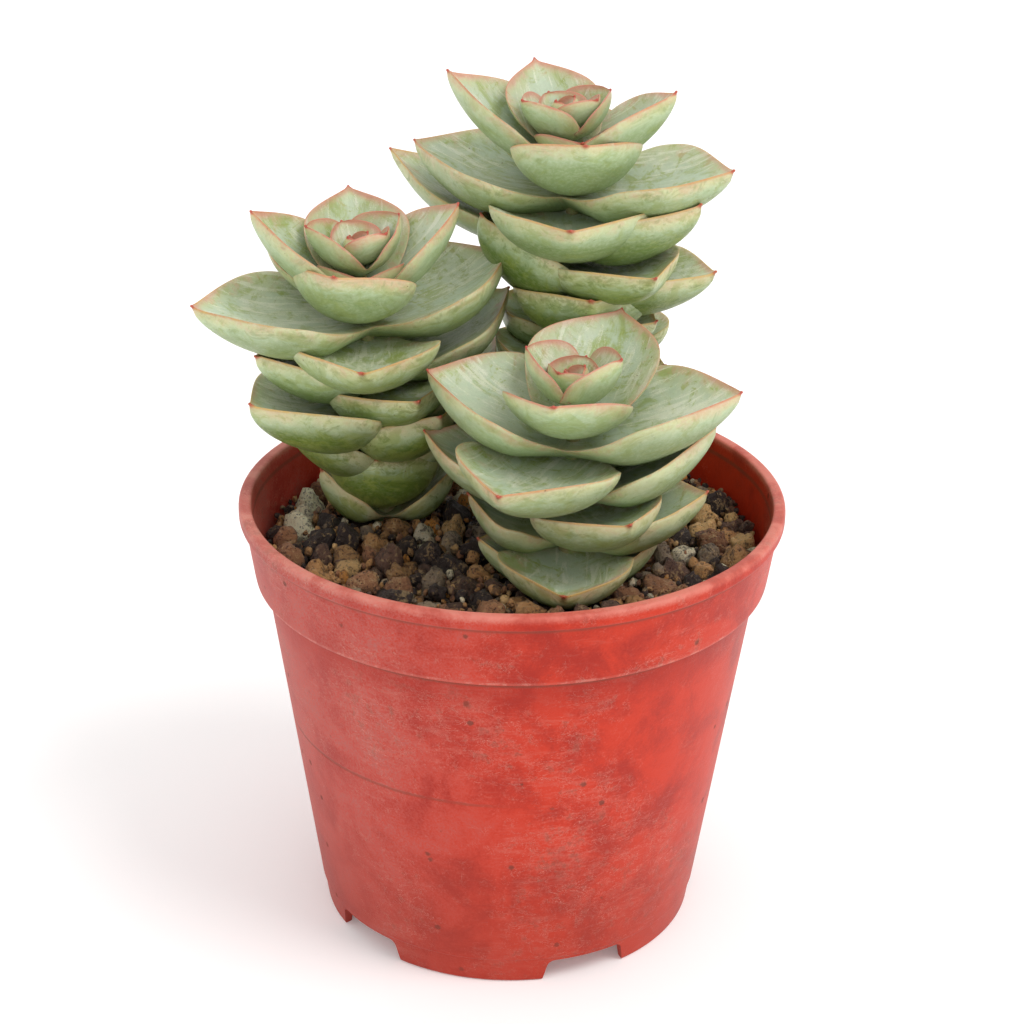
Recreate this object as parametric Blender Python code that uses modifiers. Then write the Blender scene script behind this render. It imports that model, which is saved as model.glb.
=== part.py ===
"""A potted succulent: three stems of stacked leaf pairs in a round nursery pot of gritty mix.

Lengths are in millimetres and turned to metres where the meshes are made.
Angles are in degrees. An azimuth of 0 points along +X and 90 along +Y.
"""

import math

import bmesh
import bpy
from mathutils import Matrix, Vector, noise

MM = 0.001

# Pot
POT_HEIGHT = 74.6
RIM_RADIUS = 45.0
RIM_DEPTH = 2.4
RIM_WIDTH = 2.0
RIM_ROUND = 0.5
BAND_RADIUS = 44.0
BAND_BOTTOM_RADIUS = 42.7
BODY_TOP_RADIUS = 40.8
BODY_TOP = 61.4
STEP_ROUND = 1.0
STEP_RISE = 0.5
STEP_DROP = 1.5
FOOT_RADIUS = 31.9
FOOT_WIDTH = 1.6
LEDGE_HEIGHT = 4.8
LEDGE_STEP = 0.25
FOOT_ROUND = 0.4
FLOOR_ROUND = 0.8
FLOOR_UNDERSIDE = 3.8
WALL = 1.3
POT_STEPS = 50
NOTCH_COUNT = 5
NOTCH_FIRST_AZIMUTH = -137.5
NOTCH_WIDTH = 15.2
NOTCH_TOP_WIDTH = 13.2
NOTCH_HEIGHT = 4.0
NOTCH_LENGTH = 8.0
DRAIN_RADIUS = 3.0
DRAIN_CIRCLE = 19.0
DRAIN_SIDES = 12
CUT_OVERRUN = 1.0

# Gritty mix
GAP = 0.3
MIX_TOP = 65.0
MIX_LUMP = 0.9
MIX_LUMP_SIZE = 9.0
MIX_DIP = 6.5
MIX_DIP_RADIUS = 9.5
MIX_RINGS = 10
MIX_STEPS = 40

# Stems and leaves
STEM_FOOT_Z = 50.0
STEM_FOOT_RADIUS = 2.6
STEM_TOP_RADIUS = 0.8
STEM_TIP_LENGTH = 1.5
STEM_TIP_RADIUS = 0.35
STEM_SIDES = 8
SLEEVE_OVERRUN = 3.0
LEAF_WIDEST = 0.42
LEAF_NECK = 0.3
NECK_WALL = 0.8
LEAF_BASE_DEPTH = 0.6
LEAF_DEPTH = 0.165
LEAF_HOLLOW = 0.05
LEAF_SAG = 0.07
LEAF_STATIONS = (0.13, 0.3, 0.5, 0.72, 0.9)

# Each pair of leaves, from the soil up: height where it joins the stem,
# then (azimuth, length, rise) of one leaf and of the leaf opposite, and their width.
FRONT_PLANT = {
    "foot": (9.5, -8.5, 64.0),
    "top": (9.6, -9.5, 98.4),
    "pairs": (
        (64.9, (3, 16, 12), (182, 16, 15), 15),
        (69.2, (-94, 15.5, 6), (86, 15, 6), 21),
        (72.6, (-2, 23, 13), (168, 19, 12), 22),
        (76.2, (-63, 20, 13), (117, 18, 10), 22),
        (80.6, (2, 25, 15), (163, 25.7, 13), 25),
        (84.6, (-117, 25, 12), (63, 22, 12), 27),
        (88.4, (-6, 28, 20), (166, 25.8, 21), 28),
        (92.0, (-103, 17.5, 31), (67, 23.5, 30), 22),
        (95.0, (-16, 11, 47), (167, 11.5, 47), 14),
        (97.0, (-130, 5, 45), (58, 4.5, 55), 7.5),
    ),
}
LEFT_PLANT = {
    "foot": (-21.5, 12.0, 64.0),
    "top": (-25.6, 9.0, 113.8),
    "pairs": (
        (66.0, (5, 14, 34), (191, 13.5, 37), 15),
        (70.2, (-93, 13.5, 37), (87, 13, 30), 14),
        (76.0, (24, 17, 24), (204, 16, 26), 16.5),
        (80.3, (-50, 16.5, 22), (130, 18, 20), 18),
        (85.4, (36, 26, 17), (213, 24.5, 14), 25),
        (88.9, (-60, 17, 12), (120, 18, 12), 22),
        (92.6, (30, 28, 15), (205, 25, 11), 24),
        (96.9, (-89, 22, 9), (91, 22, 12), 24.5),
        (100.9, (26, 27, 12), (194, 28.5, 11), 28),
        (103.2, (-105, 17.5, 34), (150, 24, 20), 21),
        (105.7, (14, 21.5, 42), (180, 22.5, 38), 18.5),
        (108.1, (101, 18.5, 38), (-82, 12, 38), 17.5),
        (110.0, (28, 11, 50), (188, 11.5, 42), 14),
        (112.0, (-35, 8, 42), (120, 6, 45), 8),
    ),
}
BACK_PLANT = {
    "foot": (15.0, 26.0, 64.0),
    "top": (7.7, 25.0, 132.3),
    "pairs": (
        (66.0, (10, 16, 20), (190, 16, 20), 18),
        (71.0, (-80, 17, 15), (100, 14, 14), 18),
        (76.0, (12, 19, 14), (192, 19, 14), 21),
        (81.0, (-78, 18, 12), (102, 15, 12), 20),
        (86.0, (-15, 22, 12), (165, 21, 12), 23),
        (91.0, (-122, 22, 12), (58, 18, 10), 22),
        (95.5, (-22, 22, 9), (158, 16, 9), 22),
        (99.6, (-86, 18.5, 13), (94, 17, 10), 24),
        (103.6, (-18, 24, 9), (162, 16, 8), 23),
        (107.2, (-58, 23.5, 8), (122, 20, 7), 23),
        (111.0, (-30, 25, 14), (159, 33, 13), 25),
        (115.0, (-92, 24, 11), (88, 22, 12), 27),
        (119.1, (-16, 28, 12), (164, 28, 12), 28),
        (121.2, (-82, 18, 32), (98, 20, 27), 22),
        (123.7, (-13, 22, 37), (170, 25, 35), 19.5),
        (126.4, (112, 18.5, 37), (-70, 12, 37), 16.5),
        (128.1, (19, 10.5, 44), (202, 10.5, 41), 14),
        (130.1, (-38, 8.5, 36), (122, 5, 42), 8),
    ),
}
PLANTS = {"front": FRONT_PLANT, "left": LEFT_PLANT, "back": BACK_PLANT}


def clear_scene():
    for obj in list(bpy.data.objects):
        bpy.data.objects.remove(obj, do_unlink=True)


def make_collection(name):
    collection = bpy.data.collections.new(name)
    bpy.context.scene.collection.children.link(collection)
    return collection


def make_material(name, color, roughness):
    material = bpy.data.materials.new(name)
    material.use_nodes = True
    shader = material.node_tree.nodes["Principled BSDF"]
    shader.inputs["Base Color"].default_value = (*color, 1.0)
    shader.inputs["Roughness"].default_value = roughness
    shader.inputs["Metallic"].default_value = 0.0
    return material


def make_object(name, mesh, collection, material=None):
    obj = bpy.data.objects.new(name, mesh)
    collection.objects.link(obj)
    if material:
        mesh.materials.append(material)
    return obj


def mesh_from(bm, name):
    bmesh.ops.recalc_face_normals(bm, faces=bm.faces)
    mesh = bpy.data.meshes.new(name)
    bm.to_mesh(mesh)
    bm.free()
    return mesh


def turned_object(name, profile, steps, collection, material):
    """A Screw modifier turns a profile of (radius, height) that runs down its outer side."""
    mesh = bpy.data.meshes.new(name)
    points = [(radius * MM, 0.0, height * MM) for radius, height in profile]
    edges = [(i, i + 1) for i in range(len(points) - 1)]
    mesh.from_pydata(points, edges, [])
    obj = make_object(name, mesh, collection, material)
    screw = obj.modifiers.new("turn", "SCREW")
    screw.axis = "Z"
    screw.steps = steps
    screw.render_steps = steps
    screw.use_merge_vertices = True
    screw.merge_threshold = 0.00005
    screw.use_smooth_shade = True
    return obj


def applied(obj):
    """Turns the object's modifiers into its mesh."""
    graph = bpy.context.evaluated_depsgraph_get()
    mesh = bpy.data.meshes.new_from_object(obj.evaluated_get(graph))
    obj.modifiers.clear()
    obj.data = mesh
    return obj


def cut(obj, cutter):
    cutter.hide_render = True
    cutter.display_type = "WIRE"
    boolean = obj.modifiers.new(cutter.name, "BOOLEAN")
    boolean.operation = "DIFFERENCE"
    boolean.object = cutter


def body_radius(height):
    share = height / BODY_TOP
    return FOOT_RADIUS + share * (BODY_TOP_RADIUS - FOOT_RADIUS)


def inner_radius(height):
    if height < BODY_TOP:
        return body_radius(height) - WALL
    band_share = (height - BODY_TOP) / (POT_HEIGHT - RIM_DEPTH - BODY_TOP)
    return BAND_BOTTOM_RADIUS + band_share * (BAND_RADIUS - BAND_BOTTOM_RADIUS) - WALL


def pot_profile():
    floor_top = FLOOR_UNDERSIDE + WALL
    rim_bottom = POT_HEIGHT - RIM_DEPTH
    rim_inside = RIM_RADIUS - RIM_WIDTH
    foot_inside = FOOT_RADIUS - FOOT_WIDTH
    foot_outside = FOOT_RADIUS - LEDGE_STEP
    ledge_radius = body_radius(LEDGE_HEIGHT)
    inside = [
        (0.0, floor_top),
        (inner_radius(floor_top) - FLOOR_ROUND, floor_top),
        (inner_radius(floor_top), floor_top + FLOOR_ROUND),
        (inner_radius(BODY_TOP - STEP_DROP), BODY_TOP - STEP_DROP),
        (inner_radius(BODY_TOP + STEP_RISE), BODY_TOP + STEP_RISE),
        (inner_radius(rim_bottom), rim_bottom),
        (rim_inside, POT_HEIGHT - RIM_ROUND),
        (rim_inside + RIM_ROUND, POT_HEIGHT),
    ]
    outside = [
        (RIM_RADIUS - RIM_ROUND, POT_HEIGHT),
        (RIM_RADIUS, POT_HEIGHT - RIM_ROUND),
        (RIM_RADIUS, rim_bottom + RIM_ROUND / 2),
        (RIM_RADIUS - RIM_ROUND, rim_bottom),
        (BAND_RADIUS, rim_bottom - RIM_ROUND / 2),
        (BAND_BOTTOM_RADIUS, BODY_TOP + STEP_ROUND),
        (BAND_BOTTOM_RADIUS - STEP_ROUND / 2, BODY_TOP),
        (BODY_TOP_RADIUS, BODY_TOP - STEP_ROUND / 4),
        (ledge_radius, LEDGE_HEIGHT),
        (ledge_radius - LEDGE_STEP, LEDGE_HEIGHT - LEDGE_STEP),
        (foot_outside, FOOT_ROUND),
        (foot_outside - FOOT_ROUND, 0.0),
    ]
    underside = [
        (foot_inside, 0.0),
        (foot_inside, FLOOR_UNDERSIDE),
        (0.0, FLOOR_UNDERSIDE),
    ]
    return inside + outside + underside


def notch_azimuth(number):
    return NOTCH_FIRST_AZIMUTH + number * 360 / NOTCH_COUNT


def notch_cutter(collection, number):
    """A block, narrower at its top, across the foot ring."""
    bm = bmesh.new()
    bmesh.ops.create_cube(bm, size=1.0)
    for vert in bm.verts:
        top = vert.co.z > 0
        width = NOTCH_TOP_WIDTH if top else NOTCH_WIDTH
        vert.co.x = (FOOT_RADIUS + vert.co.x * NOTCH_LENGTH) * MM
        vert.co.y *= width * MM
        vert.co.z = (NOTCH_HEIGHT if top else -CUT_OVERRUN) * MM
    cutter = make_object(f"notch_cutter_{number}", mesh_from(bm, "notch_cutter"), collection)
    cutter.rotation_euler.z = math.radians(notch_azimuth(number))
    return cutter


def drain_cutter(collection, number):
    bm = bmesh.new()
    bmesh.ops.create_cone(
        bm,
        cap_ends=True,
        segments=DRAIN_SIDES,
        radius1=DRAIN_RADIUS * MM,
        radius2=DRAIN_RADIUS * MM,
        depth=(WALL + 2 * CUT_OVERRUN) * MM,
    )
    cutter = make_object(f"drain_cutter_{number}", mesh_from(bm, "drain_cutter"), collection)
    azimuth = math.radians(notch_azimuth(number + 0.5))
    cutter.location = (
        DRAIN_CIRCLE * MM * math.cos(azimuth),
        DRAIN_CIRCLE * MM * math.sin(azimuth),
        (FLOOR_UNDERSIDE + WALL / 2) * MM,
    )
    return cutter


def make_pot(parts, cutters, material):
    pot = turned_object("pot", pot_profile(), POT_STEPS, parts, material)
    for number in range(NOTCH_COUNT):
        cut(pot, notch_cutter(cutters, number))
        cut(pot, drain_cutter(cutters, number))
    return pot


def stem_point(plant, height):
    foot = Vector(plant["foot"])
    top = Vector(plant["top"])
    return foot.lerp(top, (height - foot.z) / (top.z - foot.z))


def stem_radius(plant, height):
    share = (height - STEM_FOOT_Z) / (plant["top"][2] - STEM_FOOT_Z)
    return STEM_FOOT_RADIUS + share * (STEM_TOP_RADIUS - STEM_FOOT_RADIUS)


def join_rings(bm, rings):
    """Makes the points of rings of equal length and the skin between them, open at both ends."""
    made = [[bm.verts.new(point * MM) for point in ring] for ring in rings]
    count = len(made[0])
    for lower, upper in zip(made, made[1:]):
        for i in range(count):
            j = (i + 1) % count
            bm.faces.new((lower[i], lower[j], upper[j], upper[i]))
    return made[0], made[-1]


def stem_mesh(plant, name, extra_radius, extra_length):
    """A straight tapered stem whose top closes in a short point."""
    top = plant["top"][2]
    shoulder = top - STEM_TIP_LENGTH
    outline = [
        (STEM_FOOT_Z - extra_length, stem_radius(plant, STEM_FOOT_Z) + extra_radius),
        (shoulder, stem_radius(plant, shoulder) + extra_radius),
        (top + extra_length, STEM_TIP_RADIUS + extra_radius),
    ]
    rings = []
    for height, radius in outline:
        centre = stem_point(plant, height)
        angles = [2 * math.pi * (side + 0.5) / STEM_SIDES for side in range(STEM_SIDES)]
        rings.append([centre + Vector((math.cos(a), math.sin(a), 0.0)) * radius for a in angles])
    bm = bmesh.new()
    for end in join_rings(bm, rings):
        bm.faces.new(end)
    return mesh_from(bm, name)


def lump_height(x, y):
    """The mix's surface: lumps of grit, dipping round each stem."""
    height = MIX_TOP + MIX_LUMP * noise.noise(Vector((x, y, 3.0)) / MIX_LUMP_SIZE)
    for plant in PLANTS.values():
        foot_x, foot_y, _ = plant["foot"]
        distance = math.hypot(x - foot_x, y - foot_y)
        height -= MIX_DIP * math.exp(-((distance / MIX_DIP_RADIUS) ** 4))
    return height


def make_mix(parts, cutters, material):
    floor_top = FLOOR_UNDERSIDE + WALL + GAP
    edge = inner_radius(MIX_TOP) - GAP
    surface = [(edge * ring / MIX_RINGS, MIX_TOP) for ring in range(MIX_RINGS + 1)]
    surface_z = MIX_TOP * MM
    sides = [
        (inner_radius(BODY_TOP + STEP_RISE) - GAP, BODY_TOP + STEP_RISE),
        (inner_radius(BODY_TOP - STEP_DROP) - GAP, BODY_TOP - STEP_DROP),
        (inner_radius(floor_top) - GAP, floor_top + STEP_ROUND),
        (inner_radius(floor_top) - GAP - STEP_ROUND, floor_top),
        (0.0, floor_top),
    ]
    mix = turned_object("potting_mix", surface + sides, MIX_STEPS, parts, material)
    applied(mix)
    for vert in mix.data.vertices:
        if math.isclose(vert.co.z, surface_z, abs_tol=0.01 * MM):
            vert.co.z = lump_height(vert.co.x / MM, vert.co.y / MM) * MM
    for name, plant in PLANTS.items():
        pocket = make_object(
            f"{name}_stem_pocket", stem_mesh(plant, "pocket", GAP, GAP), cutters
        )
        cut(mix, pocket)
    return mix


def neck_share(plant, pair):
    """Width of the joint between two leaves, as a share of theirs: enough to go round the stem."""
    height, width = pair[0], pair[-1]
    least = 2 * (stem_radius(plant, height) + GAP + NECK_WALL)
    return max(LEAF_NECK, least / width)


def leaf_width(share, neck):
    """Half-width of a leaf, as a share of its largest, from the stem (0) to the tip (1)."""
    if share < LEAF_WIDEST:
        return neck + (1 - neck) * math.sin(math.pi / 2 * share / LEAF_WIDEST)
    beyond = (share - LEAF_WIDEST) / (1 - LEAF_WIDEST)
    return (1 - beyond**2.4) * (1 - 0.45 * beyond**2)


def leaf_depth(share):
    """Depth of the belly under the leaf's edge, as a share of its largest."""
    if share < LEAF_WIDEST:
        swell = math.sin(math.pi / 2 * share / LEAF_WIDEST)
        return LEAF_BASE_DEPTH + (1 - LEAF_BASE_DEPTH) * swell
    beyond = (share - LEAF_WIDEST) / (1 - LEAF_WIDEST)
    return (1 - beyond**2) * (1 - 0.3 * beyond**2)


def section(half_width, depth, hollow):
    """A leaf's cross-section: a shallow trough above a deep rounded belly."""
    return [
        (half_width, 0.0),
        (half_width * 0.55, -hollow),
        (-half_width * 0.55, -hollow),
        (-half_width, 0.0),
        (-half_width * 0.88, -depth * 0.5),
        (-half_width * 0.45, -depth * 0.93),
        (half_width * 0.45, -depth * 0.93),
        (half_width * 0.88, -depth * 0.5),
    ]


def leaf_frame(azimuth, rise):
    """Unit vectors along the leaf, across it and out of its upper face."""
    turn = Matrix.Rotation(math.radians(azimuth), 3, "Z")
    tilt = Matrix.Rotation(math.radians(-rise), 3, "Y")
    frame = turn @ tilt
    return frame @ Vector((1, 0, 0)), frame @ Vector((0, 1, 0)), frame @ Vector((0, 0, 1))


def leaf_rings(base, leaf, width, neck):
    azimuth, length, rise = leaf
    along, across, out = leaf_frame(azimuth, rise)
    rings = []
    for share in LEAF_STATIONS:
        sag = LEAF_SAG * length * 4 * share * (1 - share)
        centre = base + along * (share * length) - out * sag
        half_width = width / 2 * leaf_width(share, neck)
        depth = LEAF_DEPTH * width * leaf_depth(share)
        hollow = LEAF_HOLLOW * width * leaf_width(share, neck)
        outline = section(half_width, depth, hollow)
        rings.append([centre + across * v + out * w for v, w in outline])
    return rings, base + along * length


def pair_mesh(plant, pair):
    """Two opposite leaves that are joined at their bases, lofted from tip to tip."""
    height, leaf_a, leaf_b, width = pair
    base = stem_point(plant, height)
    neck = neck_share(plant, pair)
    rings_a, tip_a = leaf_rings(base, leaf_a, width, neck)
    rings_b, tip_b = leaf_rings(base, leaf_b, width, neck)
    towards_a = leaf_frame(leaf_a[0], 0)[0] - leaf_frame(leaf_b[0], 0)[0]
    middle = math.degrees(math.atan2(towards_a.y, towards_a.x))
    _, across, out = leaf_frame(middle, 0)
    half_width = width / 2 * neck
    depth = LEAF_DEPTH * width * LEAF_BASE_DEPTH
    hollow = LEAF_HOLLOW * width * neck
    waist = [base + across * v + out * w for v, w in section(half_width, depth, hollow)]
    # The far leaf is seen from its other side, so its rings run the other way round.
    mirrored = [ring[3::-1] + ring[:3:-1] for ring in rings_b]
    bm = bmesh.new()
    ends = join_rings(bm, mirrored[::-1] + [waist] + rings_a)
    for ring, tip in zip(ends, (tip_b, tip_a)):
        point = bm.verts.new(tip * MM)
        for i, corner in enumerate(ring):
            bm.faces.new((ring[i - 1], corner, point))
    return mesh_from(bm, "leaf_pair")


def make_plant(name, plant, parts, cutters, stem_material, leaf_material):
    make_object(f"{name}_stem", stem_mesh(plant, "stem", 0.0, 0.0), parts, stem_material)
    sleeve = make_object(f"{name}_stem_sleeve", stem_mesh(plant, "sleeve", GAP, SLEEVE_OVERRUN), cutters)
    for number, pair in enumerate(plant["pairs"], start=1):
        leaves = make_object(
            f"{name}_leaf_pair_{number:02d}", pair_mesh(plant, pair), parts, leaf_material
        )
        leaves.data.shade_smooth()
        cut(leaves, sleeve)


def stand_on_origin(parts):
    """Moves the plant and pot so that the middle of their footprint is the origin."""
    bpy.context.view_layer.update()
    graph = bpy.context.evaluated_depsgraph_get()
    corners = [
        obj.matrix_world @ Vector(corner)
        for obj in parts.objects
        for corner in obj.evaluated_get(graph).bound_box
    ]
    middle_x = (min(c.x for c in corners) + max(c.x for c in corners)) / 2
    middle_y = (min(c.y for c in corners) + max(c.y for c in corners)) / 2
    holder = bpy.data.objects.new("potted_succulent_origin", None)
    bpy.context.scene.collection.objects.link(holder)
    for obj in list(bpy.data.objects):
        if obj != holder:
            obj.parent = holder
    holder.location = (-middle_x, -middle_y, 0.0)
    bpy.context.view_layer.update()


def main():
    clear_scene()
    parts = make_collection("potted_succulent")
    cutters = make_collection("cutters")
    pot_red = make_material("pot_plastic", (0.62, 0.10, 0.055), 0.5)
    grit = make_material("gritty_mix", (0.16, 0.10, 0.065), 0.9)
    stem_green = make_material("stem_skin", (0.23, 0.30, 0.12), 0.6)
    leaf_green = make_material("leaf_skin", (0.33, 0.47, 0.29), 0.5)
    make_pot(parts, cutters, pot_red)
    make_mix(parts, cutters, grit)
    for name, plant in PLANTS.items():
        make_plant(name, plant, parts, cutters, stem_green, leaf_green)
    stand_on_origin(parts)


main()
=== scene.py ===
import math
import random

import bmesh
import bpy
import numpy as np
from mathutils import Euler, Matrix, Vector, noise
from mathutils.bvhtree import BVHTree


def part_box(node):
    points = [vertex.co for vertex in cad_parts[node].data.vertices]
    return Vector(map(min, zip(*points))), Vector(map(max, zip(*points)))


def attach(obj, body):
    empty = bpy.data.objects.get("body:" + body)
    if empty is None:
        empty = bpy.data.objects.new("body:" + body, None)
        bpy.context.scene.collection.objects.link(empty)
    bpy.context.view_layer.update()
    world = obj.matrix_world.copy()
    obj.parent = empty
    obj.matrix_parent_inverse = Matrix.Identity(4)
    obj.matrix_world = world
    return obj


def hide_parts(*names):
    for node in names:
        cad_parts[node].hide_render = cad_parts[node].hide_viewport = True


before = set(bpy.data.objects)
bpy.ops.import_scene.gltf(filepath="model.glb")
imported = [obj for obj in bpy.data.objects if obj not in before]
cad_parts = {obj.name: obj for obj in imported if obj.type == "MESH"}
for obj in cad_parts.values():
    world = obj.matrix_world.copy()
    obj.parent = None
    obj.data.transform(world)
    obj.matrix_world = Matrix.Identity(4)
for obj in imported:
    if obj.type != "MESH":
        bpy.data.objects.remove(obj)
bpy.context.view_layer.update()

mm = 0.001
potLow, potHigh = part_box("pot")
potAxis = np.array([(potLow.x + potHigh.x) / 2, (potLow.y + potHigh.y) / 2, 0.0]) / mm
potTop = potHigh.z / mm
rimRadius = (potHigh.x - potLow.x) / 2 / mm
print("frame loaded, pot", round(rimRadius * 2, 1), "mm across,", round(potTop, 1), "mm tall")


# shader helpers

class Wire:  # an output socket; arithmetic on it adds Math nodes
    def __init__(self, nodes, socket):
        self.nodes = nodes
        self.socket = socket

    def calc(self, operation, *values):
        return self.nodes.add("ShaderNodeMath", {"operation": operation}, dict(enumerate(values)))

    def __add__(self, other):
        return self.calc("ADD", self, other)

    def __sub__(self, other):
        return self.calc("SUBTRACT", self, other)

    def __rsub__(self, other):
        return self.calc("SUBTRACT", other, self)

    def __mul__(self, other):
        return self.calc("MULTIPLY", self, other)

    def __truediv__(self, other):
        return self.calc("DIVIDE", self, other)

    def __rtruediv__(self, other):
        return self.calc("DIVIDE", other, self)

    def __pow__(self, other):
        return self.calc("POWER", self, other)

    def __rpow__(self, other):
        return self.calc("POWER", other, self)

    def __abs__(self):
        return self.calc("ABSOLUTE", self)

    __radd__ = __add__
    __rmul__ = __mul__

    def least(self, other):
        return self.calc("MINIMUM", self, other)

    def step(self, low, high, down=False):  # smooth 0 to 1 between low and high
        ends = (1.0, 0.0) if down else (0.0, 1.0)
        return self.nodes.add(
            "ShaderNodeMapRange",
            {"interpolation_type": "SMOOTHSTEP"},
            {"Value": self, "From Min": low, "From Max": high,
             "To Min": ends[0], "To Max": ends[1]},
        )


class Nodes:  # the node tree of a material or of the sky
    def __init__(self, owner):
        owner.use_nodes = True
        self.tree = owner.node_tree

    def feed(self, socket, value):
        if isinstance(value, Wire):
            self.tree.links.new(value.socket, socket)
        elif socket.type == "RGBA":
            socket.default_value = (*value[:3], 1.0)
        else:
            socket.default_value = value

    def add(self, kind, settings=None, values=None, out=0):
        node = self.tree.nodes.new(kind)
        for key, value in (settings or {}).items():
            setattr(node, key, value)
        for key, value in (values or {}).items():
            self.feed(node.inputs[key], value)
        return Wire(self, node.outputs[out])


class Paint(Nodes):  # a material under construction
    def __init__(self, name, **fixed):
        self.material = bpy.data.materials.new(name)
        super().__init__(self.material)
        self.skin = self.tree.nodes["Principled BSDF"]
        for socket, value in fixed.items():
            self.skin.inputs[socket.replace("_", " ")].default_value = value

    def attribute(self, name, out="Fac"):
        return self.add("ShaderNodeAttribute", {"attribute_name": name}, out=out)

    def place(self):  # position on the piece, in metres
        return self.add("ShaderNodeTexCoord", out="Object")

    def placeInMm(self, by=(0.0, 0.0, 0.0)):
        return self.shift(self.place(), (1 / mm,) * 3, by)

    def split(self, vector):
        parts = self.add("ShaderNodeSeparateXYZ", {}, {0: vector})
        return [Wire(self, socket) for socket in parts.socket.node.outputs]

    def grey(self, value):
        return self.add("ShaderNodeCombineColor", {}, dict.fromkeys(range(3), value))

    def shift(self, vector, scale=(1.0, 1.0, 1.0), by=(0.0, 0.0, 0.0)):
        values = {"Vector": vector, "Scale": scale, "Location": by}
        return self.add("ShaderNodeMapping", {}, values)

    def grain(self, vector, scale, detail=3.0, roughness=0.55, bend=0.0):
        return self.add(
            "ShaderNodeTexNoise",
            {},
            {"Vector": vector, "Scale": scale, "Detail": detail, "Roughness": roughness,
             "Distortion": bend},
        )

    def cells(self, vector, scale):  # distance to the nearest of scattered points
        values = {"Vector": vector, "Scale": scale}
        return self.add("ShaderNodeTexVoronoi", {}, values, out="Distance")

    def blend(self, share, first, second, mode="MIX"):
        return self.add(
            "ShaderNodeMix",
            {"data_type": "RGBA", "blend_type": mode},
            {0: share, 6: first, 7: second},
            out=2,
        )

    def finish(self, color, roughness, bump=None, lift=0.0, depth=0.0):  # depth in mm
        self.feed(self.skin.inputs["Base Color"], color)
        self.feed(self.skin.inputs["Roughness"], roughness)
        if bump is not None:
            values = {"Height": bump, "Strength": lift, "Distance": depth * mm}
            self.feed(self.skin.inputs["Normal"], self.add("ShaderNodeBump", {}, values))
        return self.material


# materials

leafColors = {
    "wax": (0.57, 0.63, 0.47),
    "waxCool": (0.50, 0.59, 0.44),
    "waxWarm": (0.52, 0.54, 0.25),
    "pale": (0.80, 0.81, 0.68),
    "olive": (0.29, 0.36, 0.07),
    "stain": (0.13, 0.20, 0.022),
    "cream": (0.71, 0.67, 0.33),
    "belly": (0.48, 0.60, 0.36),
    # deep underside colour: old leaves' own green, darkened further as painted shade
    "bellyDeepAndShade": (0.14, 0.225, 0.03),
    "blush": (0.66, 0.36, 0.27),
    "flush": (0.58, 0.21, 0.17),
    "edge": (0.56, 0.20, 0.075),
    "edgeYoung": (0.57, 0.17, 0.13),
    "edgeOld": (0.56, 0.36, 0.10),
    "tip": (0.46, 0.055, 0.04),
    "speck": (0.16, 0.09, 0.04),
}
leafMarks = {             # mm from the edge line
    "warmReach": 6.0,
    "creamReach": 3.4,
    "deepFrom": 1.4,      # where the underside starts to darken, with painted shade and old leaves' deeper green, and where it is darkest
    "deepTo": 6.5,
    "edgeReach": 1.9,
    "ripeReach": 1.1,
    "lineReach": 0.34,
    "blushFromTip": 13.0,
    "pointFromTip": 0.75,
    "relief": 0.35,
}


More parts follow.
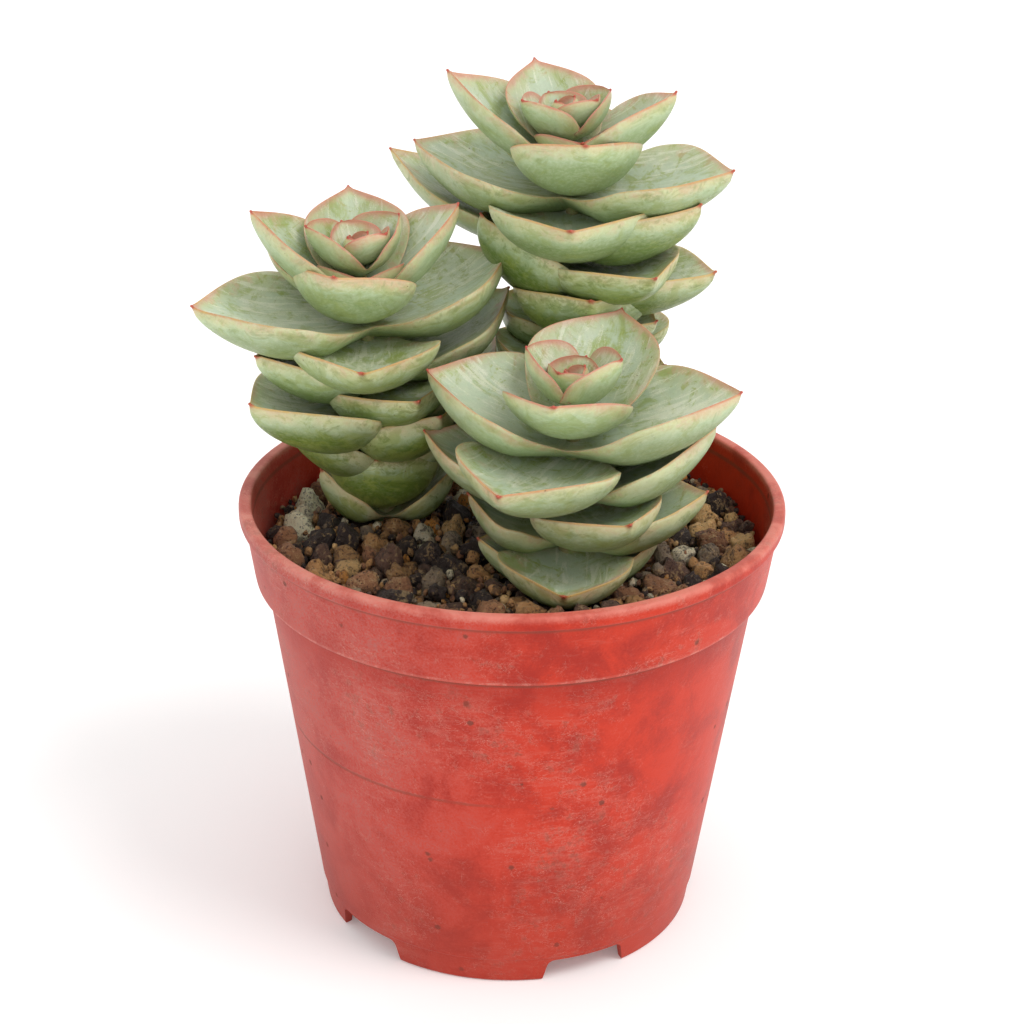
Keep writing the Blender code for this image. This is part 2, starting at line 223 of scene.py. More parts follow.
def leafMaterial():
    c, m = leafColors, leafMarks
    p = Paint(
        "leafSkin",
        Subsurface_Weight=0.12,
        Subsurface_Radius=(0.9, 1.0, 0.45),
        Subsurface_Scale=0.0015,
        Specular_IOR_Level=0.5,
    )
    rim = p.attribute("rim")  # mm from the leaf's edge line
    top = p.attribute("topFace")
    tipGap = p.attribute("tipGap")  # mm from the tip
    age = p.attribute("age")
    seed = p.attribute("seed")
    flow = p.attribute("flow", "Vector")  # mm along, across and down, apart for each leaf
    along = p.attribute("along")

    broad = p.grain(flow, 0.10, 3.0, 0.6, 0.6)
    fine = p.grain(flow, 1.3, 4.0, 0.65)
    dust = p.grain(flow, 5.5, 3.0, 0.7)
    veins = p.grain(p.shift(flow, (0.16, 0.95, 1.0)), 0.8, 4.0, 0.62, 0.9)
    patch = p.grain(p.shift(flow, (0.7, 1.0, 1.0), (7.0, 3.0, 11.0)), 0.19, 5.0, 0.64, 1.1)
    streak = p.grain(p.shift(flow, (1.0, 0.6, 1.0), (17.0, 5.0, 2.0)), 0.26, 5.0, 0.68, 1.6)
    wander = p.grain(p.shift(flow, by=(3.0, 19.0, 5.0)), 0.20, 3.0, 0.55)
    worn = p.grain(p.shift(flow, by=(23.0, 9.0, 1.0)), 0.42, 4.0, 0.6)

    # waxy face: cool in the middle and warmer outwards
    waxy = p.blend((broad + (streak - 0.5) * 0.4).step(0.40, 0.60), c["waxCool"], c["wax"])
    outward = (rim + (wander - 0.5) * 9.0).step(0.4, m["warmReach"], down=True)
    waxy = p.blend(outward * 0.62, waxy, c["waxWarm"])

    # where the bloom is rubbed off the green shows through
    mood = seed * 0.07 + age * 0.03
    rubbed = (patch + (veins - 0.5) * 0.4 + (fine - 0.5) * 0.15 + mood).step(0.50, 0.68)
    rubbed = rubbed * (rim.step(0.15, 1.4) * 0.8 + 0.2)
    smudge = (streak + (fine - 0.5) * 0.35 + mood).step(0.56, 0.72)
    waxy = p.blend(rubbed * 0.62, waxy, c["olive"])
    waxy = p.blend(smudge * 0.70, waxy, c["olive"])
    pink = outward * (worn + (streak - 0.5) * 0.5).step(0.48, 0.66)
    waxy = p.blend(pink * 0.5, waxy, c["blush"])
    chalky = (veins + (dust - 0.5) * 0.3 + (broad - 0.5) * 0.5).step(0.50, 0.66)
    waxy = p.blend(chalky * 0.62, waxy, c["pale"])

    # underside: cream below the edge, then green, darkest by the stem and on old leaves; the
    # darkening is old leaves' own deeper green plus painted shade on the lower belly
    deepAndShade = (rim + (wander - 0.5) * 4.0).step(m["deepFrom"], m["deepTo"])
    under = p.blend(deepAndShade * (0.14 + age * 1.25).least(1.0), c["belly"], c["bellyDeepAndShade"])
    creamBand = (rim + (wander - 0.5) * 4.0).step(0.3, m["creamReach"], down=True)
    under = p.blend(creamBand * (0.35 + broad * 0.6), under, c["cream"])
    pinkBand = creamBand * (broad + (worn - 0.5) * 0.8).step(0.46, 0.62)
    under = p.blend(pinkBand * (0.55 - age * 0.4), under, c["blush"])
    under = p.blend(fine.step(0.40, 0.65) * (0.36 - age * 0.22), under, c["wax"])
    under = p.blend(rubbed * (0.30 + age * 0.35), under, c["olive"])
    under = p.blend(smudge * (0.12 + age * 0.60), under, c["stain"])

    body = p.blend(top, under, waxy)

    # blush near the tip, then the coloured edge line and the red point
    nearTip = (tipGap + (wander - 0.5) * 9.0).step(0.5, m["blushFromTip"], down=True)
    youthful = age.step(0.55, 0.0)
    ragged = fine - 0.5 + (worn - 0.5) * 2.2
    edgeZone = (rim + ragged - nearTip * 0.7).step(0.05, m["edgeReach"], down=True)
    warmth = (0.10 + nearTip * 0.55 + youthful * 0.22).least(0.8) * (0.22 + top * 0.78)
    warmth = warmth * (broad.step(0.36, 0.62) * 0.65 + 0.35)
    body = p.blend(edgeZone * warmth, body, c["blush"])
    ripe = (rim + ragged * 0.6 - nearTip * 0.5).step(0.0, m["ripeReach"], down=True) * nearTip
    body = p.blend(ripe * (0.22 + youthful * 0.40) * (0.35 + top * 0.65), body, c["flush"])
    edgeColor = p.blend(age.step(0.05, 0.5), c["edgeYoung"], c["edge"])
    faded = (age * 1.1 + (worn - 0.5) * 2.0).step(0.18, 0.80)
    edgeColor = p.blend(faded, edgeColor, c["edgeOld"])
    lineWidth = 0.02 + (wander - 0.45) * 0.6 + nearTip * 0.14
    line = (rim - lineWidth).step(-0.10, m["lineReach"], down=True)
    broken = (worn + nearTip * 0.12).step(0.40, 0.60) * 0.8 + 0.2
    body = p.blend(line * broken * (0.45 + fine * 0.7).least(1.0), body, edgeColor)
    point = (tipGap + rim * 0.5 + (dust - 0.5) * 0.5).step(0.05, m["pointFromTip"], down=True)
    body = p.blend(point * 0.85, body, c["tip"])

    # dark specks and powdery bloom
    cell = p.cells(flow, 0.42)
    speck = (cell + (dust - 0.5) * 0.08).step(0.035, 0.075, down=True) * seed.step(0.35, 0.6)
    body = p.blend(speck * 0.75, body, c["speck"])
    body = p.blend(dust.step(0.25, 0.75) * 0.22, body, c["wax"], "SOFT_LIGHT")
    shade = 0.84 + (fine - 0.5) * 0.26 + (dust - 0.5) * 0.12 + along * 0.18
    body = p.blend(1.0, body, p.grey(shade), "MULTIPLY")

    rough = 0.44 + (fine - 0.5) * 0.20 - rubbed * 0.10 + top * 0.06
    height = fine * 0.35 + veins * 0.5 + dust * 0.18 - rubbed * 0.3 + streak * 0.3
    return p.finish(body, rough, height, 0.4, m["relief"])


stemColors = {"green": (0.20, 0.27, 0.085), "brown": (0.33, 0.28, 0.13), "scar": (0.42, 0.36, 0.24)}


def stemMaterial():
    c = stemColors
    p = Paint("stemSkin", Subsurface_Weight=0.05, Subsurface_Scale=0.001)
    spot = p.placeInMm()
    coarse = p.grain(p.shift(spot, (1.0, 1.0, 0.4)), 0.7, 4.0)
    fine = p.grain(spot, 4.0, 4.0)
    color = p.blend(coarse.step(0.35, 0.65), c["green"], c["brown"])
    color = p.blend(fine.step(0.5, 0.75) * 0.6, color, c["scar"])
    return p.finish(color, 0.55 + coarse * 0.25, coarse + fine * 0.4, 0.5, 0.4)


potColors = {
    "red": (0.58, 0.030, 0.006),
    "redDeep": (0.38, 0.016, 0.005),
    # greyed red of the chalky film, also painted shade on the side away from the light
    "chalkAndShade": (0.36, 0.145, 0.13),
    # pale scratch colour, also used for painted highlights on the band edge and the lip
    "scratchAndHighlight": (0.74, 0.33, 0.26),
    # stain colour, also used for the painted shade lines under the band and under the lip
    "stain": (0.20, 0.05, 0.028),
    "dirt": (0.09, 0.045, 0.03),
    # painted shade colour for the pot's inside
    "inside": (0.24, 0.016, 0.008),
}
potMarks = {              # mm above the table
    "stackRing": 37.2,    # scuffed where pots were stacked
    "bandShadeLine": 60.9,       # painted shade line under the band
    "shadowFrom": 53.5,
    "bandEdge": 62.0,
    "lipShadeLine": 71.9,       # painted shade line under the lip
    "lipFrom": 73.2,
    "lipTo": 74.4,
    "darkerBelow": 45.0,
    "soilFrom": 65.0,
    "soilTo": 68.5,
    "relief": 0.4,
}


def potMaterial():
    c, m, shape = potColors, potMarks, potShape
    p = Paint("potPlastic", Specular_IOR_Level=0.26)
    spot = p.placeInMm(tuple(-potAxis))
    x, y, z = p.split(spot)  # mm from the pot's axis and above the table
    reach = (x * x + y * y) ** 0.5

    broad = p.grain(spot, 0.035, 4.0, 0.6, 0.5)
    cloud = p.grain(spot, 0.11, 5.0, 0.62, 0.4)
    grime = p.grain(spot, 0.5, 5.0, 0.68)
    fine = p.grain(spot, 2.6, 4.0, 0.7)
    fibre = p.grain(p.shift(spot, (0.35, 0.35, 1.7)), 0.55, 5.0, 0.7, 0.6)

    color = p.blend((cloud + (fine - 0.5) * 0.3).step(0.30, 0.62), c["redDeep"], c["red"])
    # chalky film with painted shade: strongest on the side that faces away from the light
    side = (x * -0.85 + y * -0.35 + (cloud - 0.5) * 30.0).step(8.0, 42.0)
    filmAndShade = (cloud * 0.35 + fine * 0.65).step(0.32, 0.66) * (0.05 + side * 0.74)
    color = p.blend(filmAndShade, color, c["chalkAndShade"])
    smear = (fibre + (broad - 0.5) * 0.7).step(0.52, 0.74)
    color = p.blend(smear * 0.12, color, c["scratchAndHighlight"])
    scuffs = (grime * 0.5 + fine * 0.5 + (broad - 0.5) * 0.5).step(0.52, 0.66)
    color = p.blend(scuffs * 0.14, color, c["scratchAndHighlight"])
    # darker towards the bottom, in cloudy patches
    lowerDarkening = (z + (cloud - 0.5) * 26.0).step(34.0, 2.0)
    color = p.blend(lowerDarkening * 0.28, color, c["stain"])

    # hairline scratches: thin contour lines of two noises, broken up
    wisp = p.grain(spot, 0.16, 6.0, 0.72, 1.4)
    hair = abs(wisp - 0.5).step(0.001, 0.004, down=True) * grime.step(0.46, 0.60)
    hair = hair * broad.step(0.40, 0.52)
    arc = p.grain(p.shift(spot, (0.5, 0.5, 1.2), (31.0, 7.0, 3.0)), 0.24, 5.0, 0.7, 0.8)
    longHair = abs(arc - 0.47).step(0.001, 0.0045, down=True) * broad.step(0.50, 0.58)
    scratches = (hair + longHair).least(1.0)
    color = p.blend(scratches * 0.6, color, c["scratchAndHighlight"])

    # specks, old water marks and the scuffed ring where pots were stacked
    cell = p.cells(spot, 0.15)
    speck = (cell + (fine - 0.5) * 0.10).step(0.055, 0.095, down=True)
    color = p.blend(speck * 0.65, color, c["dirt"])
    blotch = (grime + (broad - 0.5) * 0.8).step(0.60, 0.78)
    color = p.blend(blotch * 0.5, color, c["stain"])
    ring = abs(z - m["stackRing"] + (wisp - 0.5) * 0.8).step(0.10, 0.42, down=True)
    ring = ring * (x * -1.0 + (cloud - 0.5) * 60.0).step(-6.0, 14.0)
    color = p.blend(ring * 0.5, color, c["stain"])
    # painted shade: a dark line under the band's overhang
    bandShadeLine = abs(z - m["bandShadeLine"] + (fine - 0.5) * 0.5).step(0.15, 0.70, down=True)
    underBand = z.step(m["shadowFrom"], m["bandShadeLine"] - 0.5)
    shadow = underBand * z.step(m["bandShadeLine"] + 0.4, m["bandShadeLine"] - 0.1)
    color = p.blend(shadow * 0.5, color, c["redDeep"])
    # darker towards the bottom
    color = p.blend(z.step(0.0, m["darkerBelow"], down=True) * 0.28, color, c["redDeep"])
    # worn band edge and painted highlight: a pale line along the band's lower edge
    edgeWearAndHighlight = abs(z - m["bandEdge"] + (fine - 0.5) * 0.6).step(0.05, 0.40, down=True)
    color = p.blend(edgeWearAndHighlight * (0.12 + grime.step(0.5, 0.6) * 0.25), color, c["scratchAndHighlight"])
    # painted shade: a dark line under the lip
    lipShadeLine = abs(z - m["lipShadeLine"] + (fine - 0.5) * 0.4).step(0.10, 0.60, down=True)
    # both painted shade lines take the stain colour
    color = p.blend(bandShadeLine * 0.75 + lipShadeLine * 0.6, color, c["stain"])

    # inside wall and underside are painted deeper in colour as shade; the lip is rubbed pale, with
    # a painted highlight
    taper = shape["bodyTopRadius"] - shape["footRadius"]
    wallLine = shape["footRadius"] + (z / shape["bodyTop"]) * taper - 0.9
    inside = (wallLine - reach).step(0.0, 0.4) * z.step(4.0, 6.0)
    color = p.blend(inside * 0.75, color, c["inside"])
    soilLine = (z + (grime - 0.5) * 5.0).step(m["soilTo"], m["soilFrom"])
    color = p.blend(inside * soilLine * 0.5, color, c["dirt"])
    # rubbed lip and painted highlight: the top of the lip is painted paler
    lipRubAndHighlight = (z + (fine - 0.5) * 0.9).step(m["lipFrom"], m["lipTo"])
    lipRubAndHighlight = lipRubAndHighlight * (0.35 + cloud.step(0.4, 0.6) * 0.5)
    color = p.blend(lipRubAndHighlight * 0.6, color, c["scratchAndHighlight"])

    rough = 0.44 + filmAndShade * 0.22 + (fine - 0.5) * 0.16 + speck * 0.2
    height = fine * 0.2 + grime * 0.4 + cloud * 0.3 - scratches * 0.5 - ring * 0.6
    return p.finish(color, rough, height, 0.4, m["relief"])


gritColors = {
    # the hollow and pore colours are painted shade in the bump's hollows and pits
    "hollow": (0.035, 0.02, 0.015),
    "crust": (0.62, 0.41, 0.20),
    "poreShade": (0.025, 0.016, 0.012),
    "glint": (0.80, 0.66, 0.45),
    "dustDark": (0.018, 0.012, 0.009),
    "dust": (0.085, 0.055, 0.035),
    "dustPale": (0.20, 0.14, 0.085),
}


def gritMaterial():
    c = gritColors
    p = Paint("gritStone", Specular_IOR_Level=0.5)
    tone = p.attribute("tone", "Color")
    spot = p.attribute("flow", "Vector")  # mm, turned and shifted for each granule
    coarse = p.grain(spot, 0.50, 4.0, 0.62, 0.8)
    fine = p.grain(spot, 2.4, 5.0, 0.75, 0.5)
    pores = p.cells(spot, 1.5)
    # painted shade: the bump's hollows are painted dark
    hollow = (coarse + (fine - 0.5) * 0.5).step(0.48, 0.34)
    color = p.blend(hollow * 0.75, tone, c["hollow"])
    crust = (coarse + (fine - 0.5) * 0.7).step(0.56, 0.66)
    color = p.blend(crust * 0.5, color, c["crust"])
    # painted shade in the pits of the pores
    color = p.blend(pores.step(0.10, 0.30, down=True) * 0.7, color, c["poreShade"])
    color = p.blend(fine.step(0.60, 0.70) * 0.45, color, c["glint"])
    height = coarse * 0.8 + fine * 0.8 + pores.least(0.4) * 0.9
    return p.finish(color, 0.44 + (fine - 0.5) * 0.6, height, 1.0, 1.1)


def fillMaterial():
    c = gritColors
    p = Paint("gritDust", Specular_IOR_Level=0.2)
    spot = p.placeInMm()
    coarse = p.grain(spot, 0.6, 5.0, 0.7)
    fine = p.grain(spot, 3.0, 4.0, 0.7)
    color = p.blend(coarse.step(0.35, 0.65), c["dustDark"], c["dust"])
    color = p.blend(fine.step(0.6, 0.78) * 0.5, color, c["dustPale"])
    return p.finish(color, 0.9, coarse + fine * 0.6, 0.9, 1.2)


floorColors = {"paper": (0.90, 0.897, 0.895), "paperPale": (0.925, 0.922, 0.92), "glow": 0.13}


def floorMaterial():
    c = floorColors
    p = Paint(
        "floorPaper",
        Specular_IOR_Level=0.15,
        Emission_Color=(1.0, 1.0, 1.0, 1.0),
        Emission_Strength=c["glow"],
    )
    faint = p.grain(p.place(), 3.0, 2.0)
    return p.finish(p.blend(faint, c["paper"], c["paperPale"]), 0.8)


# mesh helpers

def addObject(name, data):
    thing = bpy.data.objects.new(name, data)
    bpy.context.scene.collection.objects.link(thing)
    return thing


def putPiece(name, points, faces, material, values=None):
    # points in mm from the pot's axis; values are named numbers, vectors or colours per point
    mesh = bpy.data.meshes.new(name)
    world = (np.asarray(points, float) + potAxis) * mm
    mesh.from_pydata(world.tolist(), [], faces)
    for key, data in (values or {}).items():
        data = np.asarray(data, np.float32)
        width = data.size // len(data)
        kind, field = {
            1: ("FLOAT", "value"), 3: ("FLOAT_VECTOR", "vector"), 4: ("FLOAT_COLOR", "color"),
        }[width]
        mesh.attributes.new(key, kind, "POINT").data.foreach_set(field, data.ravel())
    mesh.validate()
    mesh.shade_smooth()
    mesh.materials.append(material)
    piece = addObject(name, mesh)
    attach(piece, "root")
    return piece


def bandFaces(first, second, count):  # four-sided faces between two rings of points
    return [
        (first + k, first + (k + 1) % count, second + (k + 1) % count, second + k)
        for k in range(count)
    ]


def smoothStep(low, high, value):
    t = np.clip((np.asarray(value, float) - low) / (high - low), 0, 1)
    return t * t * (3 - 2 * t)


# leaves

leafShape = {
    "stations": 28,     # rings along each leaf
    "around": 44,       # points in each ring
    "widest": 0.46,
    "neck": 0.40,       # width of the joint between two leaves, old and young
    "neckYoung": 0.72,
    "neckWall": 1.1,
    "depth": 0.165,     # belly depth as a share of the width
    "depthOld": 0.09,   # added on the oldest leaves
    "thinnest": 1.5,
    "baseDepth": 0.80,
    "trough": 0.02,
    "cup": 0.27,        # how far the sides curl up, as a share of the half-width
    "cupYoung": 0.50,
    "sag": 0.06,
    "rimHeight": 0.22,  # mm
    "bead": 0.24,       # mm, the point's radius
    "wave": 0.022,
    "youngSpan": 9.0,   # pairs below the top over which leaves turn from young to grown
    "ageSpan": 13.0,    # and from fresh to old
}

# each plant's pairs from the bottom: height, (azimuth, length, rise[, own width[, own curl]])
# of both leaves, and the usual width, in mm and degrees
frontPlant = {
    "foot": (9.5, -8.5, 64.0),
    "top": (9.6, -9.5, 98.4),
    "pairs": (
        (64.9, (3, 15.5, 22), (182, 16, 21), 16),
        (69.2, (-94, 18.8, 1), (86, 16, 6), 22),
        (72.6, (-2, 23, 18), (170, 17.5, 15), 22),
        (76.2, (-63, 20, 15), (117, 18, 10), 22),
        (80.6, (2, 25, 24), (163, 25.7, 13), 25),
        (85.5, (-117, 26, 7), (63, 22, 12), 27),
        (88.4, (-6, 28, 20), (166, 25.8, 21), 28),
        (92.0, (-103, 17.5, 28, 20.5, 0.34), (67, 23.5, 30), 22),
        (95.0, (-16, 11, 47), (167, 11.5, 47), 15.5),
        (96.6, (-130, 6, 48), (58, 6, 55), 9.5),
    ),
}
leftPlant = {
    "foot": (-21.5, 12.0, 64.0),
    "top": (-25.6, 9.0, 113.8),
    "pairs": (
        (66.0, (5, 14, 34), (191, 13.5, 37), 15),
        (70.2, (-93, 13.5, 45, 19, 0.40), (87, 13, 30), 15),
        (76.0, (24, 17, 24), (204, 18.5, 31), 19),
        (80.3, (-45, 17.5, 27), (130, 18, 20), 20),
        (85.4, (36, 26, 17), (216, 24.5, 14, 27), 25),
        (88.9, (-60, 17, 12), (120, 18, 12), 22),
        (92.6, (30, 28, 20), (205, 20.5, 14), 24),
        (97.9, (-89, 22, 6.5), (91, 22, 12), 24.5),
        (101.7, (26, 27, 17.5), (194, 28.5, 8), 28),
        (103.8, (-105, 17.5, 34, 20.5, 0.34), (141, 24.5, 22, 14, 0.3), 21),
        (105.7, (14, 21.5, 42), (180, 22.5, 38), 18.5),
        (108.1, (101, 18.5, 38), (-82, 7.5, 20, 14), 17.5),
        (110.0, (28, 11, 50), (188, 11.5, 42), 14),
        (111.7, (-35, 8, 45), (130, 7, 50), 10),
    ),
}
backPlant = {
    "foot": (15.0, 26.0, 64.0),
    "top": (7.7, 25.0, 132.3),
    "pairs": (
        (66.0, (10, 16, 20), (190, 16, 20), 18),
        (71.0, (-80, 17, 15), (100, 14, 14), 18),
        (76.0, (12, 15, 14), (192, 19, 14), 21),
        (81.0, (-78, 18, 12), (102, 15, 12), 20),
        (86.0, (-15, 14, 12, 18), (165, 21, 12), 23),
        (91.0, (-122, 22, 12), (58, 18, 10), 22),
        (95.5, (-22, 13.5, 9, 18), (158, 16, 9), 22),
        (99.6, (-86, 18.5, 19), (94, 17, 10), 24),
        (103.6, (-18, 24, 9), (198, 21.5, 36, 27, 0.2), 23),
        (107.2, (-58, 23.5, 8), (122, 20, 7), 23),
        (111.0, (-30, 25, 22), (159, 35.5, 18, 20, 0.2), 25),
        (115.0, (-92, 24, 11), (88, 22, 12), 27),
        (119.1, (-16, 28, 12), (164, 28, 12), 28),
        (121.2, (-82, 18, 33, 22, 0.34), (98, 20, 27), 22),
        (123.7, (-13, 22, 37), (170, 25, 35), 19.5),
        (126.4, (112, 18.5, 37), (-70, 7.5, 20, 13), 16.5),
        (128.1, (19, 10.5, 44), (202, 10.5, 41), 14),
        (129.8, (-38, 8.5, 42), (130, 6.5, 48), 10),
    ),
}
plants = {"front": frontPlant, "left": leftPlant, "back": backPlant}

budShape = {"below": 1.2, "leaves": ((20, 4.0, 66), (205, 3.6, 62)), "width": 5.6}
stemShape = {
    "footZ": 50.0,
    "footRadius": 2.6,
    "topRadius": 0.8,
    "sides": 20,
    "rise": 0.6,          # between rings
    "knuckle": 0.14,
    "knuckleBelow": 1.4,
    "knuckleSpread": 0.7,
}


def stemPoint(plant, height):
    foot, top = np.array(plant["foot"]), np.array(plant["top"])
    return foot + (top - foot) * (height - foot[2]) / (top[2] - foot[2])


def stemRadius(plant, height):
    share = (height - stemShape["footZ"]) / (plant["top"][2] - stemShape["footZ"])
    return stemShape["footRadius"] + share * (stemShape["topRadius"] - stemShape["footRadius"])


def leafAxes(azimuth, rise):
    a, r = math.radians(azimuth), math.radians(rise)
    along = np.array([math.cos(a) * math.cos(r), math.sin(a) * math.cos(r), math.sin(r)])
    across = np.array([-math.sin(a), math.cos(a), 0.0])
    return along, across, np.cross(along, across)


def leafWidth(s, neck, youth=0.0):
    widest = leafShape["widest"]
    if s < widest:
        return neck + (1 - neck) * math.sin(math.pi / 2 * s / widest)
    t = min((s - widest) / (1 - widest), 1.0)
    pointed = (1 - t**2.4) * (1 - 0.41 * t**2)
    rounded = math.sqrt(max(0.0, 1 - t**2.2)) * (1 - 0.12 * t)
    share = 0.7 * float(smoothStep(0.72, 1.0, youth))
    return pointed * (1 - share) + rounded * share


def leafDepth(s):
    widest, base = leafShape["widest"], leafShape["baseDepth"]
    if s < widest:
        return base + (1 - base) * math.sin(math.pi / 2 * s / widest)
    t = min((s - widest) / (1 - widest), 1.0)
    return math.sqrt(max(0.0, 1 - t**3)) * (1 - 0.30 * t)


def cupShare(s, youth):
    share = float(smoothStep(-0.12, 0.48, s))
    return share + (1 - share) * 0.75 * youth


def leafSection(halfWidth, depth, trough, cup, s, rimHeight):
    # closed outline in (across, out): curled-up sides, rounded rim, full belly;
    # by the stem the belly thins to a wedge, so that a pair's leaves meet in a point
    count = leafShape["around"]
    angle = 2 * np.pi * np.arange(count) / count
    u = np.cos(angle)
    size = np.abs(u)
    upper = rimHeight * np.sqrt(np.clip(1 - size**14, 0, 1)) - trough * (1 - u * u) ** 1.4
    wedge = float(smoothStep(0.34, 0.0, s))
    bowl = np.sqrt(np.clip(1 - size ** (2.9 - 0.9 * s * s), 0, 1))
    lower = -depth * (bowl * (1 - wedge) + (1 - size) * wedge)
    side = np.sin(angle).round(9)
    w = np.where(side > 0, upper, np.where(side < 0, lower, 0.0))
    return u * halfWidth, w + cup * halfWidth * size**1.8


def leafRings(base, leaf, neckWidth, youth, age, seed):
    azimuth, length, rise, width, cup = leaf
    along, across, out = leafAxes(azimuth, rise)
    shape = leafShape
    wave = shape["wave"] * width
    neck = min(0.9, neckWidth / width)
    count = shape["stations"]
    beadLength = shape["bead"] * 1.2
    shares = [0.08 + 0.92 * (k / count) ** 0.9 for k in range(count)]
    shares += [1 + beadLength * j / length for j in (0.0, 0.5, 0.85)]
    rings, notes = [], []
    angle = 2 * np.pi * np.arange(shape["around"]) / shape["around"]
    for s in shares:
        inner = min(s, 1.0)
        sag = shape["sag"] * length * 4 * inner * (1 - inner)
        centre = base + along * (s * length) - out * sag
        halfWidth = width / 2 * leafWidth(inner, neck, youth)
        lean = [
            1 + 0.09 * noise.noise(Vector((s * 1.9, side * 5.0, seed * 31.0))) for side in (1, -1)
        ]
        share = shape["depth"] * (1 - 0.30 * youth) + shape["depthOld"] * age
        depth = max(share * width, shape["thinnest"]) * leafDepth(inner)
        trough = shape["trough"] * width * leafWidth(inner, neck, youth)
        rimHeight = shape["rimHeight"] * min(1.0, width / 16) * smoothStep(1.0, 0.8, inner)
        curl = cup * cupShare(inner, youth)
        v, w = leafSection(halfWidth, depth, trough, curl, inner, rimHeight)
        v = v * np.where(v > 0, lean[0], lean[1])
        ripple = [noise.noise(Vector((s * 2.6, side * 9.0, seed * 17.0))) for side in (1, -1)]
        w = w + wave * (v / (halfWidth + 1e-6)) ** 2 * np.where(v > 0, ripple[0], ripple[1])
        bead = float(smoothStep(0.972, 1.0, s))
        past = max(0.0, (s - 1) * length / beadLength)
        radius = shape["bead"] * math.sqrt(max(0.0, 1 - past**2))
        v = v * (1 - bead) + bead * radius * np.cos(angle)
        w = w * (1 - bead) + bead * radius * np.sin(angle)
        rings.append(centre + np.outer(v, across) + np.outer(w, out))
        notes.append((inner, s * length, max(0.0, (1 - s) * length), v))
    tip = base + along * (length + beadLength)
    return rings, notes, tip


def rimDistance(ring):
    # distance round the ring to the nearer edge line
    count = len(ring)
    half = count // 2
    steps = np.linalg.norm(np.roll(ring, -1, axis=0) - ring, axis=1)
    run = np.concatenate([[0.0], np.cumsum(steps)[:-1]])
    total = steps.sum()
    return np.minimum(np.minimum(run, total - run), np.abs(run - run[half]))


def leafPair(name, plant, pair, node, youth, age, seed, material):
    height, leafA, leafB, width = pair
    shape = leafShape
    base = stemPoint(plant, height)
    least = 2 * (stemRadius(plant, height) + shape["neckWall"])
    share = shape["neck"] + (shape["neckYoung"] - shape["neck"]) * youth
    neckWidth = max(share * width, least)
    usualCup = shape["cup"] + (shape["cupYoung"] - shape["cup"]) * youth
    count = shape["around"]
    half = count // 2
    sides = []
    for number, leaf in enumerate((leafA, leafB)):
        azimuth, length, rise, *own = leaf
        leafsWidth = own[0] if own else width
        leafsCup = own[1] if len(own) > 1 else usualCup
        spec = (azimuth, length, rise, leafsWidth, leafsCup)
        sides.append(leafRings(base, spec, neckWidth, youth, age, seed + 0.37 * number))
    towards = leafAxes(leafA[0], 0)[0] - leafAxes(leafB[0], 0)[0]
    middle = math.degrees(math.atan2(towards[1], towards[0]))
    _, across, out = leafAxes(middle, 0)
    v, w = leafSection(
        neckWidth / 2, shape["depth"] * width * shape["baseDepth"] * (1 - 0.3 * youth),
        shape["trough"] * neckWidth, usualCup * cupShare(0.0, youth), 0.0,
        shape["rimHeight"] * min(1.0, width / 16),
    )
    waist = base + np.outer(v, across) + np.outer(w, out)

    # rings from one tip through the waist to the other, and what the skin needs to know
    flip = [(half - k) % count for k in range(count)]
    loops, numbers = [], []
    for ring, note in zip(sides[1][0][::-1], sides[1][1][::-1]):
        loops.append(ring[flip])
        numbers.append((note[0], -note[1], note[2], note[3][flip], 1))
    loops.append(waist)
    numbers.append((0.0, 0.0, max(leafA[1], leafB[1]), v, 0))
    for ring, note in zip(sides[0][0], sides[0][1]):
        loops.append(ring)
        numbers.append((*note, 0))
    points = np.concatenate([*loops, [sides[1][2], sides[0][2]]])
    faces = []
    for row in range(len(loops) - 1):
        faces += bandFaces(row * count, (row + 1) * count, count)
    first, last = len(points) - 2, len(points) - 1
    end = (len(loops) - 1) * count
    for k in range(count):
        j = (k + 1) % count
        faces.append((j, k, first))
        faces.append((end + k, end + j, last))
    angle = 2 * np.pi * np.arange(count) / count
    topRow = 0.5 + 0.5 * np.sign(np.sin(angle).round(9))
    rows = []
    for ring, (s, run, gap, v, which) in zip(loops, numbers):
        rim = rimDistance(ring)
        offset = 40.0 * seed + 500.0 * topRow.round() + 90.0 * which + rim * (1.0 - topRow)
        same = [np.full(count, value) for value in (gap, s, run)]
        rows.append(np.column_stack([rim, topRow, *same, v, offset]))
    rows.append([[0.0, 0.5, 0.0, 1.0, 0.0, 0.0, 0.0]] * 2)  # the two tips
    table = np.concatenate(rows)
    values = {
        "rim": table[:, 0],
        "topFace": table[:, 1],
        "tipGap": table[:, 2],
        "along": table[:, 3],
        "flow": table[:, 4:],
        "age": np.full(len(points), age),
        "seed": np.full(len(points), (seed * 7.31) % 1.0),
    }
    piece = putPiece(name, points, faces, material, values)
    if node:
        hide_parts(node)
    return piece


def growPlant(name, plant, leafSkin, stemSkin):
    pairs = plant["pairs"]
    total = len(pairs)
    pieces = []
    for number, pair in enumerate(pairs, start=1):
        order = (total - number) / leafShape["youngSpan"]
        youth = float(smoothStep(0.62, 0.0, order))
        age = min(1.0, (total - number) / leafShape["ageSpan"])
        seed = number * 0.618 + len(name) * 0.37
        pieces.append(leafPair(
            f"{name}Leaves{number:02d}", plant, pair, f"{name}_leaf_pair_{number:02d}",
            youth, age, seed, leafSkin,
        ))
    bud = (plant["top"][2] - budShape["below"], *budShape["leaves"], budShape["width"])
    pieces.append(leafPair(f"{name}Bud", plant, bud, None, 1.0, 0.0, 0.11, leafSkin))
    growStem(name, plant, stemSkin)
    return pieces


